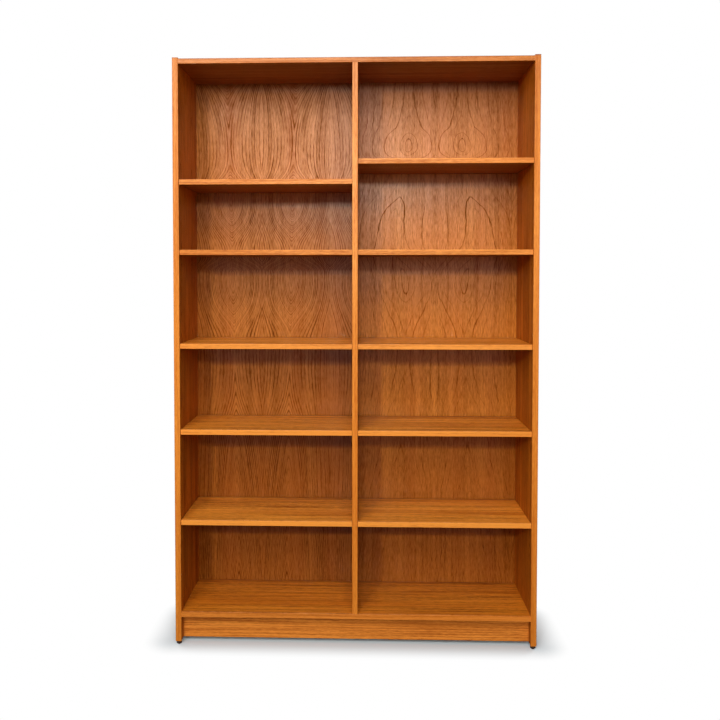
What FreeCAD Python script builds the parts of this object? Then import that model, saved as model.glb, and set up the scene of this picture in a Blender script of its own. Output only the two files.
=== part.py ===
import FreeCAD, Part
import math
import os
from FreeCAD import Vector

# Double bookcase in veneered board: two bays side by side, five loose shelves in each,
# every shelf slid on to a pair of bent wires that its slotted ends hide.
# X runs to the right, Y from front to back, Z up; the origin is under the middle, on the floor.

# Overall case
case_width = 1200.0
case_depth = 290.0
case_height = 1950.0

# Board thicknesses
side_board = 19.0
divider_board = 18.0
top_board = 17.0
bottom_board = 18.0
shelf_board = 17.0
plinth_board = 17.0
back_board = 5.0

# Heights and setbacks of the fixed boards
plinth_height = 81.0
side_proud = 3.0
inner_setback = 2.0
plinth_setback = 35.0

# Solid front edges
lipping = 8.0
arris = 1.0

# Rebate for the two back panels
rebate = 9.0
back_edge_gap = 0.5
back_joint_gap = 1.0

# Loose shelves: heights as shares of the clear height, and steps up or down the hole ladder
shelf_setback = 5.0
shelf_end_gap = 1.0
shelf_back_gap = 3.0
level_shares = (0.170, 0.337, 0.4945, 0.6655, 0.811)
shelf_steps = {"left": (0, 0, 0, 0, -1), "right": (0, 0, 0, 0, 1)}

# Hidden shelf wires and the ladders of holes that take them
wire_diameter = 3.0
wire_bend = 3.0
wire_standoff = 4.5
wire_tip_gap = 0.5
front_column = 45.0
wire_run = 180.0
hole_pitch = 33.0
hole_steps = (-1, 0, 1)
hole_clearance = 0.1
hole_end_gap = 1.5

# Slot in each shelf end, sawn from the rear and run out with a disc cutter
slot_clearance = 0.3
slot_depth = 7.0
slot_front_gap = 2.0
slot_cutter = 50.0

# Glued tongues in stopped grooves hold the fixed boards together.
tongue = 8.0
tongue_reach = 7.0
tongue_stop = 12.0
groove_clearance = 0.1
groove_end_gap = 0.5

# Countersunk screws of the back panels
screw_head = 6.0
screw_head_height = 1.8
screw_shank = 2.8
screw_length = 16.0
screw_tip = 3.0
screw_sink = 0.2
screw_clearance = 0.1
upright_screw_shares = (0.03, 0.265, 0.5, 0.735, 0.97)
rail_screw_shares = (0.33, 0.67)

# Glides and their nails
glide_height = 12.0
glide_diameter = 18.0
glide_bevel = 3.5
glide_inset = 12.0
nail_width = 2.4
nail_seat = 6.0
nail_grip = 18.0
nail_clearance = 0.1

# Glue blocks behind the plinth
glue_block_leg = 22.0
glue_block_length = 60.0
glue_block_shares = (0.15, 0.5, 0.85)

# Thin rods and their bores are drawn with this many flats
rod_flats = 8

# Cuts run this far past the faces that they open
overrun = 2.0
touch = 0.001

# Planes that the pieces share
front = -case_depth / 2
rear = case_depth / 2
back_face = rear - back_board
half_width = case_width / 2
half_inside = half_width - side_board
half_divider = divider_board / 2
top_face = case_height - side_proud
ceiling = top_face - top_board
bottom_under = glide_height + plinth_height
storage_floor = bottom_under + bottom_board
clear_height = ceiling - storage_floor
front_column_y = front + front_column
rear_column_y = front_column_y + wire_run
shelf_front = front + shelf_setback
shelf_rear = back_face - shelf_back_gap
inner_front = front + inner_setback
plinth_front = front + plinth_setback
plinth_rear = plinth_front + plinth_board
wire_grip = half_divider - wire_tip_gap
rebate_top = ceiling + rebate

across = Vector(1, 0, 0)
inward = Vector(0, 1, 0)
upward = Vector(0, 0, 1)
signs = {"left": -1, "right": 1}


def board(xs, ys, zs):
    corner = Vector(min(xs), min(ys), min(zs))
    return Part.makeBox(abs(xs[1] - xs[0]), abs(ys[1] - ys[0]), abs(zs[1] - zs[0]), corner)


def flats(width, centre, normal, side):
    # A regular polygon, square to the normal, with its flats this width apart
    corner = width / 2 / math.cos(math.pi / rod_flats)
    other = normal.cross(side)
    points = []
    for count in range(rod_flats):
        turn = (2 * count + 1) * math.pi / rod_flats
        points.append(centre + side * (corner * math.cos(turn)) + other * (corner * math.sin(turn)))
    return Part.makePolygon(points + points[:1])


def rod(width, start, direction, length):
    side = inward if direction.cross(inward).Length > touch else across
    return Part.Face(flats(width, start, direction, side)).extrude(direction * length)


def spread(shares, low, high):
    return [low + share * (high - low) for share in shares]


def soften_front(strip, along):
    face = strip.BoundBox.YMin
    edges = []
    for edge in strip.Edges:
        at_front = edge.BoundBox.YMax - face < touch
        is_long = edge.tangentAt(edge.FirstParameter).cross(along).Length < touch
        if at_front and is_long:
            edges.append(edge)
    return strip.makeFillet(arris, edges)


def lipped(xs, ys, zs, along):
    # A board along its full depth comes apart into the core and a solid strip on its front.
    joint = ys[0] + lipping
    core = board(xs, (joint, ys[1]), zs)
    strip = soften_front(board(xs, (ys[0], joint), zs), along)
    return core, strip


# Heights of the shelves and of the wire holes
def shelf_top(level, step):
    return storage_floor + level_shares[level] * clear_height + step * hole_pitch


def wire_height(level, step):
    return shelf_top(level, step) - shelf_board / 2


levels = range(len(level_shares))


def wire_holes(face, depth, direction):
    bore = wire_diameter + 2 * hole_clearance
    holes = []
    for level in levels:
        for step in hole_steps:
            for column in (front_column_y, rear_column_y):
                start = Vector(face, column, wire_height(level, step)) - direction * overrun
                holes.append(rod(bore, start, direction, depth + overrun))
    return holes


# Tongues on the ends of the top, bottom and plinth reach into the sides, and those of the
# divider into the top and bottom. A groove is its tongue with room to slide in.
def side_tongue(sign, ys, zs, play, end_gap):
    root = sign * (half_inside - end_gap)
    tip = sign * (half_inside + tongue_reach + end_gap)
    return board((root, tip), (ys[0] - play, ys[1] + play), (zs[0] - play, zs[1] + play))


def middle_of(low, high):
    centre = (low + high) / 2
    return (centre - tongue / 2, centre + tongue / 2)


panel_tongue_depths = (inner_front + lipping + tongue_stop, back_face)
side_joints = {
    "top": (panel_tongue_depths, middle_of(ceiling, top_face)),
    "bottom": (panel_tongue_depths, middle_of(bottom_under, storage_floor)),
    "plinth": (middle_of(plinth_front, plinth_rear), (glide_height + tongue_stop, bottom_under)),
}


def end_tongues(joint):
    return [side_tongue(sign, *side_joints[joint], 0, 0) for sign in signs.values()]


def side_grooves(sign):
    cuts = []
    for ys, zs in side_joints.values():
        cuts.append(side_tongue(sign, ys, zs, groove_clearance, groove_end_gap))
    return cuts


def divider_tongues(play, end_gap):
    xs = (-tongue / 2 - play, tongue / 2 + play)
    ys = (panel_tongue_depths[0] - play, panel_tongue_depths[1] + play)
    upper = board(xs, ys, (ceiling - end_gap, ceiling + tongue_reach + end_gap))
    lower = board(xs, ys, (storage_floor - tongue_reach - end_gap, storage_floor + end_gap))
    return [upper, lower]


def with_tongues(core, tongues):
    return core.fuse(tongues).removeSplitter()


# Screws of the back panels, heads sunk in the rear face
def screw_places(sign):
    outer = sign * (half_inside + rebate / 2)
    inner = sign * half_divider / 2
    heights = spread(upright_screw_shares, bottom_under, rebate_top)
    places = [(x, z) for x in (outer, inner) for z in heights]
    rails = spread(rail_screw_shares, inner, outer)
    rail_heights = (storage_floor - bottom_board / 2, ceiling + rebate / 2)
    return places + [(x, z) for x in rails for z in rail_heights]


def screw(play):
    # From the head, on the rear face, to the point; the play widens it into its hole.
    head = screw_head + 2 * play
    shank = screw_shank + 2 * play
    seat = rear - screw_sink
    neck = seat - screw_head_height
    taper = rear - screw_length + screw_tip
    cone = Part.makeLoft([flats(head, inward * seat, inward, across),
                          flats(shank, inward * neck, inward, across)], True, True)
    body = rod(shank, inward * neck, -inward, neck - taper)
    point = Part.makeLoft([flats(shank, inward * taper, inward, across),
                           Part.Vertex(0, taper - screw_tip - play, 0)], True, True)
    pieces = [body, point]
    if play:
        pieces.append(rod(head, inward * seat, inward, screw_sink + overrun))
    return cone.fuse(pieces).removeSplitter()


def at_screws(shape, side):
    return [shape.translated(Vector(x, 0, z)) for x, z in screw_places(signs[side])]


screw_bore = screw(screw_clearance)
every_screw_bore = at_screws(screw_bore, "left") + at_screws(screw_bore, "right")


# Glides stand under the ends of each side, front and rear.
def glide_places(side):
    x = signs[side] * (half_width - side_board / 2)
    return [Vector(x, front + glide_inset, 0), Vector(x, rear - glide_inset, 0)]


def nail(place, play):
    half = nail_width / 2 + play
    low = glide_height - nail_seat - play
    high = glide_height + nail_grip + play
    return board((place.x - half, place.x + half), (place.y - half, place.y + half), (low, high))


def glide(place):
    body = Part.makeCylinder(glide_diameter / 2, glide_height, place)
    foot = [edge for edge in body.Edges if edge.BoundBox.ZMax < touch]
    return body.makeChamfer(glide_bevel, foot).cut(nail(place, nail_clearance))


# Fixed boards
def side_panel(side):
    sign = signs[side]
    outer = sign * half_width
    inner = sign * half_inside
    core, strip = lipped((inner, outer), (front, rear), (glide_height, case_height), upward)
    seat = sign * (half_inside + rebate)
    cuts = [board((inner - sign * overrun, seat), (back_face, rear + overrun), (bottom_under, rebate_top))]
    cuts += wire_holes(inner, wire_grip + hole_end_gap, across * sign)
    cuts += side_grooves(sign) + at_screws(screw_bore, side)
    cuts += [nail(place, nail_clearance) for place in glide_places(side)]
    return core.cut(cuts), strip


def centre_divider():
    xs = (-half_divider, half_divider)
    core, strip = lipped(xs, (inner_front, back_face), (storage_floor, ceiling), upward)
    cuts = wire_holes(-half_divider, divider_board + overrun, across) + every_screw_bore
    return with_tongues(core, divider_tongues(0, 0)).cut(cuts), strip


def top_panel():
    xs = (-half_inside, half_inside)
    core, strip = lipped(xs, (inner_front, rear), (ceiling, top_face), across)
    wide = (-half_inside - overrun, half_inside + overrun)
    cuts = [board(wide, (back_face, rear + overrun), (ceiling - overrun, rebate_top))]
    cuts += divider_tongues(groove_clearance, groove_end_gap) + every_screw_bore
    return with_tongues(core, end_tongues("top")).cut(cuts), strip


def bottom_panel():
    xs = (-half_inside, half_inside)
    core, strip = lipped(xs, (inner_front, back_face), (bottom_under, storage_floor), across)
    cuts = divider_tongues(groove_clearance, groove_end_gap) + every_screw_bore
    return with_tongues(core, end_tongues("bottom")).cut(cuts), strip


def plinth():
    ys = (plinth_front, plinth_rear)
    plank = board((-half_inside, half_inside), ys, (glide_height, bottom_under))
    return with_tongues(soften_front(plank, across), end_tongues("plinth"))


def back_panel(side):
    sign = signs[side]
    xs = (sign * back_joint_gap / 2, sign * (half_inside + rebate - back_edge_gap))
    sheet = board(xs, (back_face, rear), (bottom_under, rebate_top - back_edge_gap))
    return sheet.cut(at_screws(screw_bore, side))


def glue_blocks():
    blocks = []
    for middle in spread(glue_block_shares, -half_inside, half_inside):
        start = middle - glue_block_length / 2
        points = [
            Vector(start, plinth_rear, bottom_under),
            Vector(start, plinth_rear + glue_block_leg, bottom_under),
            Vector(start, plinth_rear, bottom_under - glue_block_leg),
        ]
        face = Part.Face(Part.makePolygon(points + points[:1]))
        blocks.append(face.extrude(across * glue_block_length))
    return Part.makeCompound(blocks)


# Shelf wires: a leg, a long run beside the board and a second leg, bent from one rod
def shelf_wire(face, sign, height):
    def at(reach, depth):
        return Vector(face + sign * reach, depth, height)

    mitred = 1
    neck = wire_standoff - wire_bend
    near = front_column_y
    far = rear_column_y
    path = Part.makePolygon([
        at(-wire_grip, near), at(neck, near),
        at(wire_standoff, near + wire_bend), at(wire_standoff, far - wire_bend),
        at(neck, far), at(-wire_grip, far),
    ])
    section = flats(wire_diameter, at(-wire_grip, near), across, inward)
    return path.makePipeShell([section], True, False, mitred)


def shelf_wires(face, sign, bay):
    heights = [wire_height(level, shelf_steps[bay][level]) for level in levels]
    return Part.makeCompound([shelf_wire(face, sign, height) for height in heights])


# Loose shelves
def slot_cuts(end, sign, height):
    # The slot opens at the rear edge and ends in front in the curve of the disc that sawed it.
    tall = wire_diameter + 2 * slot_clearance
    low = height - tall / 2
    floor = end + sign * slot_depth
    stop = front_column_y - wire_diameter / 2 - slot_front_gap
    run = board((end - sign * overrun, floor), (stop, shelf_rear + overrun), (low, low + tall))
    hub = Vector(floor - sign * slot_cutter / 2, stop, low)
    return [run, Part.makeCylinder(slot_cutter / 2, tall, hub)]


def shelf(bay, level):
    sign = signs[bay]
    top = shelf_top(level, shelf_steps[bay][level])
    inner = sign * (half_divider + shelf_end_gap)
    outer = sign * (half_inside - shelf_end_gap)
    core, strip = lipped((inner, outer), (shelf_front, shelf_rear), (top - shelf_board, top), across)
    height = wire_height(level, shelf_steps[bay][level])
    return core.cut(slot_cuts(inner, sign, height) + slot_cuts(outer, -sign, height)), strip


def build():
    pieces = {}
    pieces["centre_divider"], pieces["divider_lipping"] = centre_divider()
    pieces["top_panel"], pieces["top_lipping"] = top_panel()
    pieces["bottom_panel"], pieces["bottom_lipping"] = bottom_panel()
    pieces["plinth"] = plinth()
    pieces["plinth_glue_blocks"] = glue_blocks()
    screw_solid = screw(0)
    screws = []
    places = glide_places("left") + glide_places("right")
    pieces["glides"] = Part.makeCompound([glide(place) for place in places])
    pieces["glide_nails"] = Part.makeCompound([nail(place, 0) for place in places])
    for side, sign in signs.items():
        pieces[side + "_side"], pieces[side + "_side_lipping"] = side_panel(side)
        pieces[side + "_back_panel"] = back_panel(side)
        pieces[side + "_side_wires"] = shelf_wires(sign * half_inside, -sign, side)
        pieces["divider_" + side + "_wires"] = shelf_wires(sign * half_divider, sign, side)
        screws += at_screws(screw_solid, side)
        for level in levels:
            name = side + "_shelf_" + str(level + 1)
            pieces[name], pieces[name + "_lipping"] = shelf(side, level)
    pieces["back_panel_screws"] = Part.makeCompound(screws)
    return pieces


os.makedirs("parts", exist_ok=True)
for piece_name, piece_shape in build().items():
    piece_shape.exportStep("parts/" + piece_name + ".step")
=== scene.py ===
import bpy
import math
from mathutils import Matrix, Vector


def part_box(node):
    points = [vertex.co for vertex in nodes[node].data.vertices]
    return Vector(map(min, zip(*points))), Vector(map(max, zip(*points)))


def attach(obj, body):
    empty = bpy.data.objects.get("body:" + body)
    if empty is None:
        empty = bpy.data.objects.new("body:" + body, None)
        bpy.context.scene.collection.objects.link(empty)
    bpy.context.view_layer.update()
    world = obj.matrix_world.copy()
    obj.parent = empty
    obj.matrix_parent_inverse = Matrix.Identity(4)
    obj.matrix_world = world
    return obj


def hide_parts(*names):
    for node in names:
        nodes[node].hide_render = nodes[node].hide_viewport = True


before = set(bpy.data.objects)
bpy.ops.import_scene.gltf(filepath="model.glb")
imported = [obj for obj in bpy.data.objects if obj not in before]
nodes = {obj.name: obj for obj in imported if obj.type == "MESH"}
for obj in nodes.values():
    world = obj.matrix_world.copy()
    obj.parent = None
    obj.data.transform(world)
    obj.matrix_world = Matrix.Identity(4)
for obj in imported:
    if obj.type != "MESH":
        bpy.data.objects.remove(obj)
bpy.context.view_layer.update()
scene = bpy.context.scene
scene.view_settings.view_transform = "Standard"
print("frame loaded:", len(nodes), "nodes")


# One socket of a node tree, so that maths on sockets reads as plain expressions
class Sock:
    def __init__(self, tree, socket=None):
        self.tree = tree
        self.socket = socket

    def node(self, kind, settings=None, sockets=None, output=0):
        made = self.tree.nodes.new(kind if "Node" in kind else "ShaderNode" + kind)
        for key, value in (settings or {}).items():
            if key == "points":  # a float curve, from its two ends inwards
                curve = made.mapping.curves[0]
                for spot, (x, y) in enumerate(value):
                    if spot < 2:
                        curve.points[spot].location = (x, y)
                    else:
                        curve.points.new(x, y)
                made.mapping.update()
            else:
                setattr(made, key, value)
        for key, value in (sockets or {}).items():
            if isinstance(value, Sock):
                self.tree.links.new(value.socket, made.inputs[key])
            else:
                made.inputs[key].default_value = value
        return Sock(self.tree, made.outputs[output]) if made.outputs else None

    def other(self, output):
        return Sock(self.tree, self.socket.node.outputs[output])

    def maths(self, operation, *rest):
        return self.node("Math", {"operation": operation}, dict(enumerate((self,) + rest)))

    def __add__(self, value):
        return self.maths("ADD", value)

    __radd__ = __add__

    def __sub__(self, value):
        return self.maths("SUBTRACT", value)

    def __rsub__(self, value):
        return self.node("Math", {"operation": "SUBTRACT"}, {0: value, 1: self})

    def __mul__(self, value):
        return self.maths("MULTIPLY", value)

    __rmul__ = __mul__

    def __truediv__(self, value):
        return self.maths("DIVIDE", value)

    def __pow__(self, value):
        return self.maths("POWER", value)

    def between(self, low, high):
        # 0 below low, 1 above high, smooth in between
        return self.node("MapRange", {"interpolation_type": "SMOOTHSTEP"}, {0: self, 1: low, 2: high})

    def mix(self, first, second, blend="MIX"):
        # first colour where this is 0, second (or their product) where it is 1
        return self.node("Mix", {"data_type": "RGBA", "blend_type": blend}, {0: self, 6: first, 7: second}, 2)

    def noise(self, place, detail=2.0, roughness=0.5):
        vector = self.node("CombineXYZ", None, dict(enumerate(place)))
        return self.node("TexNoise", None, {"Vector": vector, "Scale": 1.0, "Detail": detail, "Roughness": roughness})

    def axes(self, source):
        # the three parts of a coordinate
        place = self.node("TexCoord", output=source)
        split = place.node("SeparateXYZ", None, {0: place})
        return {letter: split.other(letter.upper()) for letter in "xyz"}


def colour(red, green, blue):
    # sRGB as a colour picker shows it, 0 to 255
    parts = [value / 255 for value in (red, green, blue)]
    parts = [part / 12.92 if part <= 0.04045 else ((part + 0.055) / 1.055) ** 2.4 for part in parts]
    return tuple(parts) + (1.0,)


def newMaterial(name):
    material = bpy.data.materials.new(name)
    material.use_nodes = True
    material.node_tree.nodes.clear()
    return material, Sock(material.node_tree)


def finishMaterial(material, start, sockets):
    shader = start.node("BsdfPrincipled", None, sockets)
    start.node("OutputMaterial", None, {"Surface": shader})
    return material


# Teak: one recipe for the veneers, the solid strips and the figured back panels
teak = {
    "along": "z", "across": "y", "through": "x",  # grain, width and thickness of the board
    "pale": colour(204, 116, 26), "dark": colour(112, 45, 2), "red": colour(168, 78, 10),
    # colour that the painted shade multiplies the wood by
    "shadeTint": (0.26, 0.17, 0.1, 1.0),
    "ringSpacing": 0.0085, "ringWidth": 0.55, "ringPick": 0.6, "ringWarp": 0.8,  # pick leaves out the weaker rings
    "ringDepth": 0.4, "bandDepth": 1.3, "streakDepth": 1.3, "fleckDepth": 1.4, "poreDepth": 0.12, "leafDepth": 0.16,
    # ripples to a metre, across the grain and along it
    "wanderScale": (10.0, 1.7), "bandScale": (38.0, 0.9), "streakScale": (170.0, 3.0), "fleckScale": (430.0, 38.0),
    "poreScale": (2100.0, 60.0), "warmScale": (13.0, 0.6), "waxScale": (7.0, 5.0),
    "poreEdges": (0.6, 0.72), "warmEdges": (0.42, 0.72), "boardScale": 0.37,
    "middle": 0.62, "toneRange": (-0.15, 1.15),  # tone of the plain wood, and the tones that are fully dark or pale
    "wander": 0.008, "seed": 0.0, "apart": 9.0,  # apart sets how much boards at other depths differ
    "tint": 0.25, "warm": 0.4, "roughness": 0.36, "specular": 0.2, "sheen": 0.0,
    "bump": 0.15, "bumpDistance": 0.0006, "bumpFleck": 0.5, "bumpLine": 0.3,
    "roughTone": 0.14, "roughLine": 0.12, "roughPore": 0.14, "roughWax": 0.12,
    "figure": None,  # flames of a back panel or a side
    "veneered": "x",  # faces square to this axis have veneer, the others show the core
    "endGrain": None,  # a solid strip shows its end grain square to this axis
    "rear": None,  # the two tones of a counter veneer
    "under": None, "underDepth": 0.7,  # painted shade on undersides: its tone, and how much of it
    "endDepth": 0.6, "endRough": 0.2, "coreRough": 0.4, "rearRough": 0.25,
    "paleBelow": None, "paleBelowHeights": (0.3, 1.7),  # how much paler the lowest boards are, and the fade upwards
    "bays": 0.0,  # how much left and right boards differ
    "capped": False,  # the ends that show from above are veneered too
    "paintedShading": (),  # painted shade: axis, where it starts, where it is full, how dark (painted light, paler, below 0)
}
chips = {"scale": 380.0, "dark": colour(138, 104, 66), "pale": colour(206, 170, 122)}
flame = {"wanderScale": (11.0, 3.1), "raggedScale": (70.0, 36.0), "span": 0.2, "fade": 0.65}
ring = {"warpScale": (0.31, 1.3), "patchScale": (40.0, 7.0), "patchEdges": (0.3, 0.65), "faintest": 0.25,
        "rising": 0.4, "falling": 0.5}  # shares of a line's width


def chipboard(start, place):
    # core that shows where a board has neither veneer nor lipping
    vector = start.node("CombineXYZ", None, dict(enumerate(place)))
    cells = start.node("TexVoronoi", None, {"Vector": vector, "Scale": chips["scale"]}, "Color")
    grains = start.node("SeparateColor", None, {0: cells})
    return grains.mix(chips["dark"], chips["pale"])


def flameField(start, u, v, w, figure):
    # leaves of veneer mirrored about their seams, with one flame up each
    leaf = (u - figure["seam"]).maths("PINGPONG", figure["leaf"])
    height = (v - figure["low"]) / (figure["high"] - figure["low"])
    wide, long = flame["wanderScale"]
    drift = (start.noise((leaf * wide, v * long, w), 3.0) - 0.5) * figure["wander"]
    wide, long = flame["raggedScale"]
    drift = drift + (start.noise((u * wide, v * long, w + 5), 2.0) - 0.5) * figure["ragged"]
    axis = height.node("FloatCurve", {"points": figure["axis"]}, {"Value": height}) * flame["span"]
    rise = (height.node("FloatCurve", {"points": figure["rise"]}, {"Value": height}) - 0.5) * flame["span"]
    across = leaf - axis + drift
    spread = (across * across + figure["tip"] ** 2) ** 0.5
    number = ((u - figure["seam"]) / figure["leaf"]).maths("FLOOR")
    # each leaf has its own tone
    tone = start.node("TexWhiteNoise", {"noise_dimensions": "1D"}, {"W": number + figure["low"]}) - 0.5
    return leaf + drift, spread + rise * (1 - spread.between(0.0, figure["reach"]) * flame["fade"]), tone


def ringLines(start, field, look, v, w):
    # dark lines of late wood, no two alike
    count = field / look["ringSpacing"]
    wide, long = ring["warpScale"]
    count = count + start.noise((count * wide, v * long, w), 2.0) * look["ringWarp"]
    saw = count.maths("FRACT")
    strength = start.node("TexWhiteNoise", {"noise_dimensions": "1D"}, {"W": count.maths("FLOOR")}) ** look["ringPick"]
    wide, long = ring["patchScale"]
    patchy = start.noise((field * wide, v * long, w + 7), 3.0).between(*ring["patchEdges"])
    strength = strength * (patchy * (1 - ring["faintest"]) + ring["faintest"])
    line = look["ringWidth"]
    return saw.between(0.0, line * ring["rising"]) * (1 - saw.between(line * ring["falling"], line)) * strength


def teakMaterial(name, changes):
    look = dict(teak, **changes)
    material, start = newMaterial(name)
    axes = start.axes("Object")
    facing = start.axes("Normal")
    u, v = axes[look["across"]], axes[look["along"]]
    w = axes[look["through"]] * look["apart"] + look["seed"]
    if look["bays"]:
        w = w - axes["x"].maths("SIGN") * look["bays"]

    def ripple(scale, across, layer, detail, roughness=0.5):
        # noise drawn out along the grain, each layer apart from the others
        wide, long = look[scale]
        return start.noise((across * wide, v * long, w + layer), detail, roughness)

    drift = (ripple("wanderScale", u, 0, 2.0) - 0.5) * look["wander"]
    grain = field = sweep = u + drift
    if look["figure"]:
        grain, field, leafTone = flameField(start, u, v, w, look["figure"])
        sweep = grain + (field - grain) * look["figure"]["sweep"]  # how far the streaks follow the flames
    line = ringLines(start, field, look, v, w)

    band = ripple("bandScale", grain, 3, 2.0)
    streak = ripple("streakScale", sweep, 11, 3.0, 0.62)
    fleck = ripple("fleckScale", u, 17, 3.0, 0.65)
    pore = ripple("poreScale", u, 23, 1.0).between(*look["poreEdges"])
    board = start.noise((w * look["boardScale"], 0.5, 0.5), 0.0)  # each board has its own tone
    tone = (band - 0.5) * look["bandDepth"] + (streak - 0.5) * look["streakDepth"] + (board - 0.5) * look["tint"]
    tone = tone + (fleck - 0.5) * look["fleckDepth"] - line * look["ringDepth"] - pore * look["poreDepth"]
    tone = tone + look["middle"]
    if look["figure"]:
        tone = tone + leafTone * look["leafDepth"]
    if look["paleBelow"]:  # lower strips are paler, fading upwards
        tone = tone + (1 - axes["z"].between(*look["paleBelowHeights"])) * look["paleBelow"]
    wood = tone.between(*look["toneRange"]).mix(look["dark"], look["pale"])
    warm = ripple("warmScale", grain, 31, 1.0).between(*look["warmEdges"]) * look["warm"]
    wood = warm.mix(wood, look["red"])
    # painted shade, and painted light where the depth is below 0: the wood darker or paler along one axis
    for letter, begins, full, depth in look["paintedShading"]:
        much = axes[letter].between(begins, full) * abs(depth)
        wood = much.mix(wood, look["shadeTint"], "MULTIPLY") if depth > 0 else much.mix(wood, look["pale"])
    rough = (teak["middle"] - tone) * look["roughTone"] + line * look["roughLine"] + pore * look["roughPore"]
    rough = rough + look["roughness"]
    rough = rough + (ripple("waxScale", u, 41, 2.0) - 0.5) * look["roughWax"]  # handled and waxed unevenly

    if look["under"]:  # painted shade: undersides darker
        below = facing["z"].maths("LESS_THAN", -0.5)
        wood = (below * look["underDepth"]).mix(wood, look["under"])
    if look["endGrain"]:
        cut = facing[look["endGrain"]].maths("ABSOLUTE").maths("GREATER_THAN", 0.6)
        wood = (cut * look["endDepth"]).mix(wood, look["dark"])
        rough = rough + cut * look["endRough"]
    if look["veneered"]:
        bare = facing[look["veneered"]].maths("ABSOLUTE").maths("LESS_THAN", 0.5)
        if look["capped"]:
            bare = bare * facing["z"].maths("LESS_THAN", 0.5)
        wood = bare.mix(wood, chipboard(start, [axes[letter] for letter in "xyz"]))
        rough = rough + bare * look["coreRough"]
    if look["rear"]:  # plain counter veneer on the face that stands to the wall
        behind = facing["y"].maths("GREATER_THAN", 0.5)
        plain = (band * 0.6 + streak * 0.4).between(0.25, 0.75).mix(*look["rear"])
        wood = behind.mix(wood, plain)
        rough = rough + behind * look["rearRough"]

    height = (fleck - 0.5) * look["bumpFleck"] - pore - line * look["bumpLine"]
    bump = start.node("Bump", None, {"Strength": look["bump"], "Distance": look["bumpDistance"], "Height": height})
    # the oil shines on the hard wood and sinks into lines and pores
    polish = tone.between(0.1, 1.0) * look["sheen"]
    return finishMaterial(material, start, {"Base Color": wood, "Roughness": rough, "Normal": bump,
                                            "Specular IOR Level": look["specular"], "Coat Weight": polish,
                                            "Coat Roughness": look["roughness"]})


# the level boards get painted shade on their undersides
level = {"along": "x", "across": "y", "through": "z", "veneered": "z", "apart": 21.0, "under": colour(85, 31, 4),
         "pale": colour(252, 160, 54), "dark": colour(134, 55, 2), "red": colour(204, 104, 18),
         "bandDepth": 1.1, "streakDepth": 1.6, "fleckDepth": 1.8}
# painted shade along the rear edge, where the shelf meets the back
shelf = {**level, "bays": 3.0, "paintedShading": (("y", 0.12, 0.139, 0.75),)}
solid = {"veneered": None, "pale": colour(236, 146, 50), "dark": colour(178, 86, 10), "red": colour(216, 118, 26),
         "ringDepth": 0.35, "ringSpacing": 0.005, "bandDepth": 1.4, "streakDepth": 1.6, "fleckDepth": 1.5,
         "specular": 0.3, "sheen": 0.4, "tint": 0.2}
solidLevel = {**solid, "along": "x", "across": "z", "through": "y", "endGrain": "x", "apart": 0.0}
backPanel = {"along": "z", "across": "x", "through": "y", "apart": 0.0, "veneered": "y",
             "rear": (colour(152, 96, 50), colour(194, 138, 86)),
             "pale": colour(226, 140, 44), "dark": colour(98, 39, 2), "red": colour(180, 88, 16), "warm": 0.2,
             "roughness": 0.29, "specular": 0.06, "sheen": 1.0, "bandDepth": 0.6, "streakDepth": 0.7,
             "fleckDepth": 1.5, "streakScale": (230.0, 3.0)}

# Flames, by share of the height: where the axis of each leaf stands off its seam, and how the rings climb;
# both ends come first, and the steps are fifths of a metre
leftFlames = {
    "seam": -0.343, "leaf": 0.248, "sweep": 1.0, "low": 0.10, "high": 1.94,
    "wander": 0.012, "ragged": 0.001, "tip": 0.004, "reach": 0.12,
    "axis": ((0.0, 0.44), (1.0, 0.63), (0.3, 0.48), (0.5, 0.52), (0.75, 0.56)),
    "rise": ((0.0, 0.12), (1.0, 0.24), (0.08, 0.25), (0.174, 0.36), (0.272, 0.5), (0.473, 0.8), (0.622, 0.28),
             (0.655, 0.74), (0.777, 0.2), (0.805, 0.62), (0.87, 0.78)),
}
rightFlames = {
    "seam": 0.286, "leaf": 0.277, "sweep": 0.12, "low": 0.10, "high": 1.94,
    "wander": 0.016, "ragged": 0.006, "tip": 0.01, "reach": 0.14,
    "axis": ((0.0, 0.80), (1.0, 0.48), (0.076, 0.78), (0.2, 0.64), (0.375, 0.6), (0.6, 0.53), (0.69, 0.8),
             (0.777, 0.63), (0.864, 0.49)),
    "rise": ((0.0, 0.04), (1.0, 0.88), (0.04, 0.16), (0.075, 0.28), (0.1, 0.31), (0.165, 0.34), (0.215, 0.5),
             (0.283, 0.66), (0.34, 0.68), (0.39, 0.82), (0.465, 0.88), (0.557, 0.72), (0.603, 0.56), (0.65, 0.66),
             (0.69, 0.78), (0.74, 0.82), (0.785, 0.96), (0.828, 1.0), (0.868, 0.56), (0.91, 0.78), (0.96, 0.86)),
}
sideFlames = {
    "seam": -0.03, "leaf": 0.2, "sweep": 0.9, "low": 0.0, "high": 1.95,
    "wander": 0.014, "ragged": 0.001, "tip": 0.005, "reach": 0.12,
    "axis": ((0.0, 0.36), (1.0, 0.5), (0.35, 0.46), (0.7, 0.4)),
    "rise": ((0.0, 0.2), (1.0, 0.75), (0.12, 0.36), (0.3, 0.6), (0.42, 0.3), (0.6, 0.7), (0.72, 0.42), (0.86, 0.62)),
}
sidePanel = {"capped": True, "warm": 0.25, "specular": 0.1, "roughness": 0.42, "bandDepth": 1.2, "figure": sideFlames}
sideVeneer = teakMaterial("sideVeneer", sidePanel)
dividerVeneer = teakMaterial("dividerVeneer", {**sidePanel, "figure": None, "bandDepth": 1.6, "seed": 13.0})
shelfVeneer = teakMaterial("shelfVeneer", shelf)
topVeneer = teakMaterial("topVeneer", level)
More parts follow.
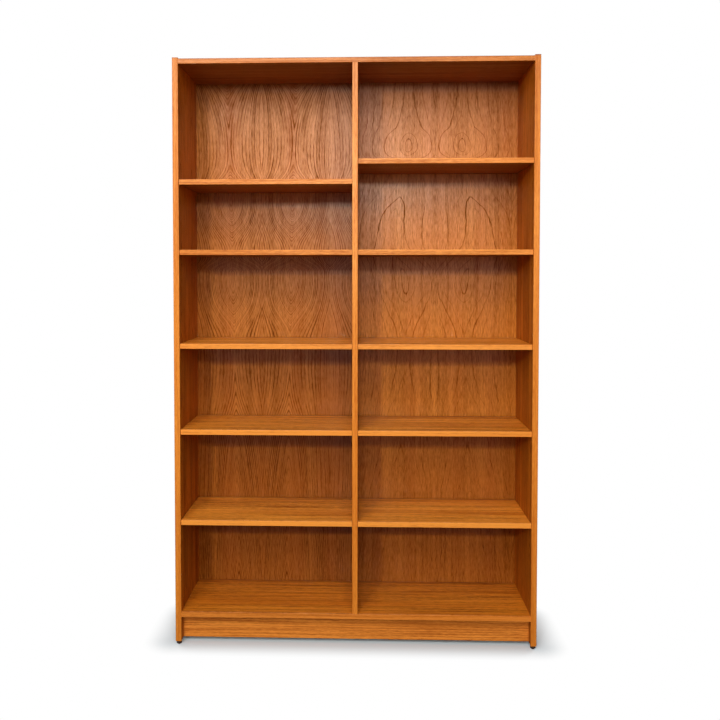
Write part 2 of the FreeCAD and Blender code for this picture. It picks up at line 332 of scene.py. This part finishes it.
# painted shade along the rear edge, where the bottom meets the back
bottomVeneer = teakMaterial("bottomVeneer", {**level, "pale": colour(230, 136, 36), "dark": colour(116, 46, 2),
                                             "seed": 5.0, "paintedShading": (("y", 0.12, 0.139, 0.6),)})
plinthVeneer = teakMaterial("plinthVeneer", {"along": "x", "across": "z", "through": "y", "veneered": "y",
                                             "pale": colour(245, 153, 62), "dark": colour(158, 74, 12),
                                             "red": colour(224, 128, 44), "bandDepth": 1.5,
                                             "streakDepth": 1.6})
# painted shade: dark lines at the top ends and outer arrises, darker towards the top and the bottom; painted light:
# paler towards the left
uprightLipping = teakMaterial("uprightLipping", {**solid, "across": "x", "through": "y", "endGrain": "z", "apart": 0.0,
                                                 "pale": colour(240, 150, 50), "dark": colour(176, 82, 8),
                                                 "shadeTint": (0.3, 0.13, 0.04, 1.0),
                                                 "paintedShading": (("z", 1.944, 1.95, 0.8), ("x", 0.598, 0.6, 0.7),
                                                           ("x", -0.598, -0.6, 0.7), ("z", 1.6, 1.95, 0.38),
                                                           ("z", 0.9, 0.1, 0.13), ("x", -0.3, -0.58, -0.25))})
shelfLipping = teakMaterial("shelfLipping", {**solidLevel, "paleBelow": 0.65, "bays": 3.0, "middle": 0.5,
                                             "pale": colour(241, 151, 56), "dark": colour(150, 68, 8)})
# painted shade: a dark line along the top arris
topLipping = teakMaterial("topLipping", {**solidLevel, "pale": colour(202, 120, 40), "dark": colour(144, 72, 14),
                                         "paintedShading": (("z", 1.9445, 1.947, 0.8),)})
bottomLipping = teakMaterial("bottomLipping", {**solidLevel, "pale": colour(226, 136, 50), "dark": colour(150, 74, 16)})
# painted shade: darker towards the bottom, in a band under the top and towards the divider
leftBack = teakMaterial("leftBackVeneer", {**backPanel, "figure": leftFlames, "pale": colour(212, 130, 40),
                                           "dark": colour(88, 34, 2), "ringDepth": 0.47, "ringSpacing": 0.007,
                                           "ringPick": 0.35, "streakDepth": 0.9, "fleckDepth": 1.2,
                                           "shadeTint": (0.3, 0.11, 0.0, 1.0),
                                           "paintedShading": (("z", 1.4, 0.2, 0.45), ("z", 1.82, 1.93, 0.38),
                                                     ("x", -0.2, -0.03, 0.25))})
# painted shade: darker towards the bottom, towards the top, in a band under the top and towards the right side
rightBack = teakMaterial("rightBackVeneer", {**backPanel, "figure": rightFlames, "seed": 40.0, "ringSpacing": 0.018,
                                             "rear": (colour(140, 90, 48), colour(184, 132, 84)),
                                             "ringWidth": 0.2, "ringDepth": 0.45, "ringPick": 1.4, "ringWarp": 1.4,
                                             "fleckDepth": 1.3, "streakDepth": 0.6, "shadeTint": (0.3, 0.11, 0.0, 1.0),
                                             "paintedShading": (("z", 1.0, 0.25, 0.5), ("z", 1.55, 1.8, 0.22),
                                                       ("z", 1.85, 1.93, 0.4), ("x", 0.35, 0.57, 0.15))})
softwood = teakMaterial("sawnSoftwood", {"along": "x", "across": "z", "through": "y", "veneered": None,
                                         "pale": colour(226, 194, 142), "dark": colour(186, 142, 90),
                                         "red": colour(206, 164, 112), "roughness": 0.7})
print("wood finishes made")


# Drawn steel of the wires, screws and nails, and the dark plastic of the glides
steel = {"drawnScale": (900.0, 60.0, 900.0), "spotScale": 500.0, "groove": colour(120, 116, 110),
         "tarnish": colour(96, 84, 72), "tarnishDepth": 0.35, "bump": 0.1, "bumpDistance": 0.0002,
         "roughDrawn": 0.14, "roughSpots": 0.2}
plastic = {"gritScale": 700.0, "scuffScale": 160.0, "scuffHeight": 0.006, "scuffed": colour(120, 104, 92),
           "scuffDepth": 0.6, "shade": 0.7, "bump": 0.15, "bumpDistance": 0.0003,
           "roughGrit": 0.2, "roughScuff": 0.2, "roughness": 0.35}


def steelMaterial(name, tone, roughness):
    material, start = newMaterial(name)
    axes = start.axes("Object")
    drawn = start.noise([axes[letter] * scale for letter, scale in zip("xyz", steel["drawnScale"])], 3.0)
    spots = start.noise([axes[letter] * steel["spotScale"] for letter in "xyz"], 2.0).between(0.58, 0.72)
    shade = (drawn.between(0.3, 0.7) * 0.6 + 0.4).mix(steel["groove"], tone)
    shade = (spots * steel["tarnishDepth"]).mix(shade, steel["tarnish"])
    rough = drawn * steel["roughDrawn"] + spots * steel["roughSpots"] + roughness
    bump = start.node("Bump", None, {"Strength": steel["bump"], "Distance": steel["bumpDistance"], "Height": drawn})
    return finishMaterial(material, start, {"Base Color": shade, "Normal": bump, "Metallic": 1.0, "Roughness": rough})


def plasticMaterial(name, tone):
    material, start = newMaterial(name)
    axes = start.axes("Object")
    grit = start.noise([axes[letter] * plastic["gritScale"] for letter in "xyz"], 3.0)
    scuff = start.noise([axes[letter] * plastic["scuffScale"] for letter in "xyz"], 3.0).between(0.5, 0.7)
    scuff = scuff * (1 - axes["z"].between(0.0, plastic["scuffHeight"]))  # worn where it meets the floor
    shade = grit.between(0.3, 0.7).mix(tuple(part * plastic["shade"] for part in tone[:3]) + (1.0,), tone)
    shade = (scuff * plastic["scuffDepth"]).mix(shade, plastic["scuffed"])
    rough = grit * plastic["roughGrit"] + scuff * plastic["roughScuff"] + plastic["roughness"]
    bump = start.node("Bump", None, {"Strength": plastic["bump"], "Distance": plastic["bumpDistance"], "Height": grit})
    return finishMaterial(material, start, {"Base Color": shade, "Normal": bump, "Roughness": rough})


wireSteel = steelMaterial("drawnWire", colour(206, 204, 200), 0.22)
screwSteel = steelMaterial("screwSteel", colour(168, 160, 142), 0.38)
glidePlastic = plasticMaterial("glidePlastic", colour(58, 42, 34))

finishes = {
    "left_side": sideVeneer, "right_side": sideVeneer, "centre_divider": dividerVeneer, "plinth": plinthVeneer,
    "left_back_panel": leftBack, "right_back_panel": rightBack, "top_lipping": topLipping,
    "bottom_lipping": bottomLipping, "left_side_lipping": uprightLipping, "right_side_lipping": uprightLipping,
    "divider_lipping": uprightLipping, "top_panel": topVeneer, "bottom_panel": bottomVeneer,
    "glides": glidePlastic, "glide_nails": screwSteel, "plinth_glue_blocks": softwood,
}
for name, piece in nodes.items():
    shelfFinish = shelfLipping if name.endswith("lipping") else shelfVeneer
    finish = finishes.get(name, shelfFinish if "_shelf_" in name else wireSteel)
    piece.data.materials.clear()
    piece.data.materials.append(finish)
print("finishes set")


# Geometry trees for the wires and screws
sharpAngle = math.radians(35)


def geometryTree(name, inputs):
    tree = bpy.data.node_groups.new(name, "GeometryNodeTree")
    for label, kind in [("Geometry", "NodeSocketGeometry")] + inputs:
        tree.interface.new_socket(label, in_out="INPUT", socket_type=kind)
    tree.interface.new_socket("Geometry", in_out="OUTPUT", socket_type="NodeSocketGeometry")
    entry = tree.nodes.new("NodeGroupInput")
    return tree, {socket.name: Sock(tree, socket) for socket in entry.outputs if socket.name}


def closeTree(tree, shape, finish):
    whole = shape.node("GeometryNodeRealizeInstances", None, {"Geometry": shape})
    coated = whole.node("GeometryNodeSetMaterial", None, {"Geometry": whole, "Material": finish})
    coated.node("NodeGroupOutput", None, {0: coated})


def grownPiece(name, tree, points, edges, values):
    base = bpy.data.meshes.new(name)
    base.from_pydata(points, edges, [])
    piece = bpy.data.objects.new(name, base)
    scene.collection.objects.link(piece)
    modifier = piece.modifiers.new("tree", "NODES")
    modifier.node_group = tree
    for item in tree.interface.items_tree:
        if item.in_out == "INPUT" and item.name in values:
            modifier[item.identifier] = values[item.name]
    mesh = bpy.data.meshes.new_from_object(piece.evaluated_get(bpy.context.evaluated_depsgraph_get()))
    piece.modifiers.remove(modifier)
    piece.data = mesh
    mesh.shade_smooth()
    mesh.set_sharp_from_angle(angle=sharpAngle)
    return piece


# Shelf wires: bent from one length, both ends in the board and the run in the shelf's slot
wire = {"diameter": 0.003, "bend": 0.0028, "sides": 14, "bendSteps": 6, "shelves": 5}
tree, given = geometryTree("shelfWireTree", [("Diameter", "NodeSocketFloat"), ("Bend", "NodeSocketFloat"),
                                             ("Sides", "NodeSocketInt"), ("Bend Steps", "NodeSocketInt"),
                                             ("Finish", "NodeSocketMaterial")])
path = given["Geometry"].node("GeometryNodeMeshToCurve", None, {"Mesh": given["Geometry"]})
path = path.node("GeometryNodeFilletCurve", {"mode": "POLY"}, {"Curve": path, "Count": given["Bend Steps"],
                                                              "Radius": given["Bend"], "Limit Radius": True})
section = path.node("GeometryNodeCurvePrimitiveCircle", None, {"Resolution": given["Sides"],
                                                               "Radius": given["Diameter"] / 2})
tube = path.node("GeometryNodeCurveToMesh", None, {"Curve": path, "Profile Curve": section, "Fill Caps": True})
closeTree(tree, tube, given["Finish"])

points, edges = [], []
radius = wire["diameter"] / 2
wireNodes = ("left_side_wires", "divider_left_wires", "divider_right_wires", "right_side_wires")
for name in wireNodes:
    low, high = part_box(name)
    bay = "left" if low.x + high.x < 0 else "right"
    tipFirst = name in ("left_side_wires", "divider_right_wires")  # the ends point to lower X
    tip, run = (low.x, high.x - radius) if tipFirst else (high.x, low.x + radius)
    for count in range(1, wire["shelves"] + 1):
        shelfLow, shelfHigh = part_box("%s_shelf_%d" % (bay, count))
        z = (shelfLow.z + shelfHigh.z) / 2
        first = len(points)
        ends = (low.y + radius, high.y - radius)
        points += [(tip, ends[0], z), (run, ends[0], z), (run, ends[1], z), (tip, ends[1], z)]
        edges += [(first + step, first + step + 1) for step in range(3)]
shelfWires = grownPiece("shelf_wires", tree, points, edges, {
    "Diameter": wire["diameter"], "Bend": wire["bend"], "Sides": wire["sides"], "Bend Steps": wire["bendSteps"],
    "Finish": wireSteel})
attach(shelfWires, "carcass")
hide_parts(*wireNodes)
print("wires made:", len(points) // 4)

# Back panel screws: countersunk, slotted, each slot at its own angle
screw = {"head": 0.006, "headHeight": 0.0018, "shank": 0.0028, "length": 0.016, "slotWidth": 0.0009,
         "slotDepth": 0.0008, "sides": 24, "shankShare": 0.7, "pointShare": 0.3, "tipShare": 0.1,
         "slotReach": 1.2, "gather": 1.2, "faceSlack": 0.0001, "seed": 5}
tree, given = geometryTree("backScrewTree", [("Head", "NodeSocketFloat"), ("Head Height", "NodeSocketFloat"),
                                             ("Shank", "NodeSocketFloat"), ("Length", "NodeSocketFloat"),
                                             ("Slot Width", "NodeSocketFloat"), ("Slot Depth", "NodeSocketFloat"),
                                             ("Seed", "NodeSocketInt"), ("Finish", "NodeSocketMaterial")])


def cone(top, bottom, depth, lift):
    # a frustum from lift downwards
    made = top.node("GeometryNodeMeshCone", None, {"Vertices": screw["sides"], "Radius Top": top,
                                                   "Radius Bottom": bottom, "Depth": depth})
    place = made.node("CombineXYZ", None, {2: lift - depth})
    return made.node("GeometryNodeTransform", None, {"Geometry": made, "Translation": place})


neck = given["Head Height"] * -1  # where the head ends, below its face
shankLength = given["Length"] * screw["shankShare"]
blank = cone(given["Head"] / 2, given["Shank"] / 2, given["Head Height"], 0.0)
size = blank.node("CombineXYZ", None, {0: given["Head"] * screw["slotReach"], 1: given["Slot Width"],
                                       2: given["Slot Depth"] * 2})
slotCut = size.node("GeometryNodeMeshCube", None, {"Size": size})
head = blank.node("GeometryNodeMeshBoolean", {"operation": "DIFFERENCE"}, {"Mesh 1": blank, "Mesh 2": slotCut})
shank = cone(given["Shank"] / 2, given["Shank"] / 2, shankLength, neck)
point = cone(given["Shank"] / 2, given["Shank"] / 2 * screw["tipShare"],
             given["Length"] * screw["pointShare"] - given["Head Height"], neck - shankLength)
whole = head.node("GeometryNodeJoinGeometry", None, {"Geometry": head})
for part in (shank, point):
    tree.links.new(part.socket, whole.socket.node.inputs["Geometry"])
turn = given["Seed"].node("FunctionNodeRandomValue", {"data_type": "FLOAT"},
                          {"Min": 0.0, "Max": math.pi, "Seed": given["Seed"]}, "Value")
turn = Sock(tree, next(socket for socket in turn.socket.node.outputs if socket.enabled))
tilt = turn.node("CombineXYZ", None, {0: -math.pi / 2, 1: turn, 2: 0.0})
placed = whole.node("GeometryNodeInstanceOnPoints", None, {"Points": given["Geometry"], "Instance": whole,
                                                           "Rotation": tilt})
closeTree(tree, placed, given["Finish"])

headFace = max(vertex.co.y for vertex in nodes["back_panel_screws"].data.vertices)
places = []
for vertex in nodes["back_panel_screws"].data.vertices:
    if vertex.co.y > headFace - screw["faceSlack"]:  # corners of the eight-sided heads, gathered by head
        reach = screw["head"] * screw["gather"]
        near = next((group for group in places if (group[0] - vertex.co).length < reach), None)
        if near is None:
            places.append([vertex.co.copy()])
        else:
            near.append(vertex.co.copy())
centres = []
for group in places:
    spans = [(min(spot[axis] for spot in group) + max(spot[axis] for spot in group)) / 2 for axis in range(3)]
    centres.append((spans[0], headFace, spans[2]))
backScrews = grownPiece("back_screws", tree, centres, [], {
    "Head": screw["head"], "Head Height": screw["headHeight"], "Shank": screw["shank"], "Length": screw["length"],
    "Slot Width": screw["slotWidth"], "Slot Depth": screw["slotDepth"], "Seed": screw["seed"], "Finish": screwSteel})
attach(backScrews, "carcass")
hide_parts("back_panel_screws")
print("screws made:", len(centres))


# Floor, white to the camera away from the case, and the world
stageLook = {"floorSize": 14.0, "bounce": 0.15, "floorTone": (0.655, 0.715, 0.75, 1.0), "fade": (0.0, 0.12),
             "ambient": 0.02, "ambientColour": (0.92, 0.96, 1.0, 1.0), "foot": (("x", 0.6), ("y", 0.11))}


def seenRay(start):
    ray = start.node("LightPath", output="Is Camera Ray")
    return ray.maths("MAXIMUM", ray.other("Is Glossy Ray").maths("MAXIMUM", ray.other("Is Transmission Ray")))


def grey(value):
    return (value, value, value, 1.0)


half = stageLook["floorSize"] / 2
floorMesh = bpy.data.meshes.new("floor")
floorMesh.from_pydata([(-half, -half, 0), (half, -half, 0), (half, half, 0), (-half, half, 0)], [], [(0, 1, 2, 3)])
floor = bpy.data.objects.new("floor", floorMesh)
scene.collection.objects.link(floor)
floorMaterial, start = newMaterial("paleFloor")
seen = start.node("LightPath", output="Is Camera Ray")
matt = start.node("BsdfDiffuse", None, {"Color": seen.mix(grey(stageLook["bounce"]), stageLook["floorTone"])})
glow = start.node("Emission", None, {"Color": grey(1.0), "Strength": 1.0})
axes = start.axes("Object")
gaps = [(axes[letter].maths("ABSOLUTE") - reach).maths("MAXIMUM", 0.0) for letter, reach in stageLook["foot"]]
away = (gaps[0] * gaps[0] + gaps[1] * gaps[1]) ** 0.5
shown = start.node("MixShader", None, {0: seen * away.between(*stageLook["fade"]), 1: matt, 2: glow})
start.node("OutputMaterial", None, {"Surface": shown})
floorMesh.materials.append(floorMaterial)

world = bpy.data.worlds.new("studio")
scene.world = world
world.use_nodes = True
world.node_tree.nodes.clear()
start = Sock(world.node_tree)
seen = seenRay(start)
air = start.node("Background", None, {"Color": seen.mix(stageLook["ambientColour"], grey(1.0)),
                                      "Strength": seen * (1 - stageLook["ambient"]) + stageLook["ambient"]})
start.node("OutputWorld", None, {"Surface": air})

# Lamps: ceiling and window light, a strip over the camera, a low one off the floor, and two for the rear
lamps = {
    "ceiling": {"at": (-0.5, -2.6, 3.5), "size": (2.4, 1.6), "power": 60.0, "gloss": True},
    "high": {"at": (0.4, -3.4, 3.0), "size": (1.4, 1.0), "power": 30.0, "gloss": False},
    "strip": {"at": (0.0, -4.5, 2.18), "size": (1.6, 0.3), "power": 46.0, "gloss": True, "tint": (1.0, 0.94, 0.8)},
    "wall": {"at": (0.75, -4.5, 1.7), "size": (1.0, 0.3), "power": 4.0, "gloss": True, "tint": (1.0, 0.94, 0.8)},
    "left": {"at": (-1.6, -3.4, 2.6), "size": (1.4, 1.0), "power": 20.0, "gloss": True},
    "right": {"at": (2.2, -4.0, 1.7), "size": (1.2, 1.2), "power": 5.0, "gloss": False},
    "window": {"at": (-1.45, -5.0, 2.5), "size": (0.25, 0.2), "power": 62.0, "gloss": False},
    "low": {"at": (0.0, -1.5, 0.12), "size": (2.0, 0.5), "power": 2.4, "gloss": False, "tint": (1.0, 0.78, 0.45)},
    "rearLeft": {"at": (-3.6, 2.6, 2.4), "size": (1.6, 1.6), "power": 110.0, "gloss": False},
    "rearRight": {"at": (3.6, 2.6, 2.4), "size": (1.6, 1.6), "power": 110.0, "gloss": False},
}
lampAim = Vector((0.0, 0.0, 1.1))
for name, lamp in lamps.items():
    light = bpy.data.lights.new(name, "AREA")
    light.shape = "RECTANGLE"
    light.size, light.size_y = lamp["size"]
    light.energy = lamp["power"]
    light.color = lamp.get("tint", (1.0, 1.0, 1.0))
    holder = bpy.data.objects.new(name, light)
    holder.visible_glossy = lamp["gloss"]
    holder.visible_camera = False
    holder.location = lamp["at"]
    holder.rotation_euler = (lampAim - Vector(lamp["at"])).to_track_quat("-Z", "Y").to_euler()
    scene.collection.objects.link(holder)

# Camera, fitted to the straight edges of the boards
view = {"lens": 39.209, "sensor": 36.0, "at": (0.0308, -2.7158, 1.2413), "pitch": -1.8567, "yaw": 1.8454,
        "shift": (0.02897, -0.08402)}
camera = bpy.data.cameras.new("camera")
camera.sensor_width = view["sensor"]
camera.lens = view["lens"]
camera.shift_x, camera.shift_y = view["shift"]
eye = bpy.data.objects.new("camera", camera)
eye.location = view["at"]
eye.rotation_euler = (math.radians(90 + view["pitch"]), 0.0, math.radians(view["yaw"]))
scene.collection.objects.link(eye)
scene.camera = eye
print("stage, lamps and camera set")
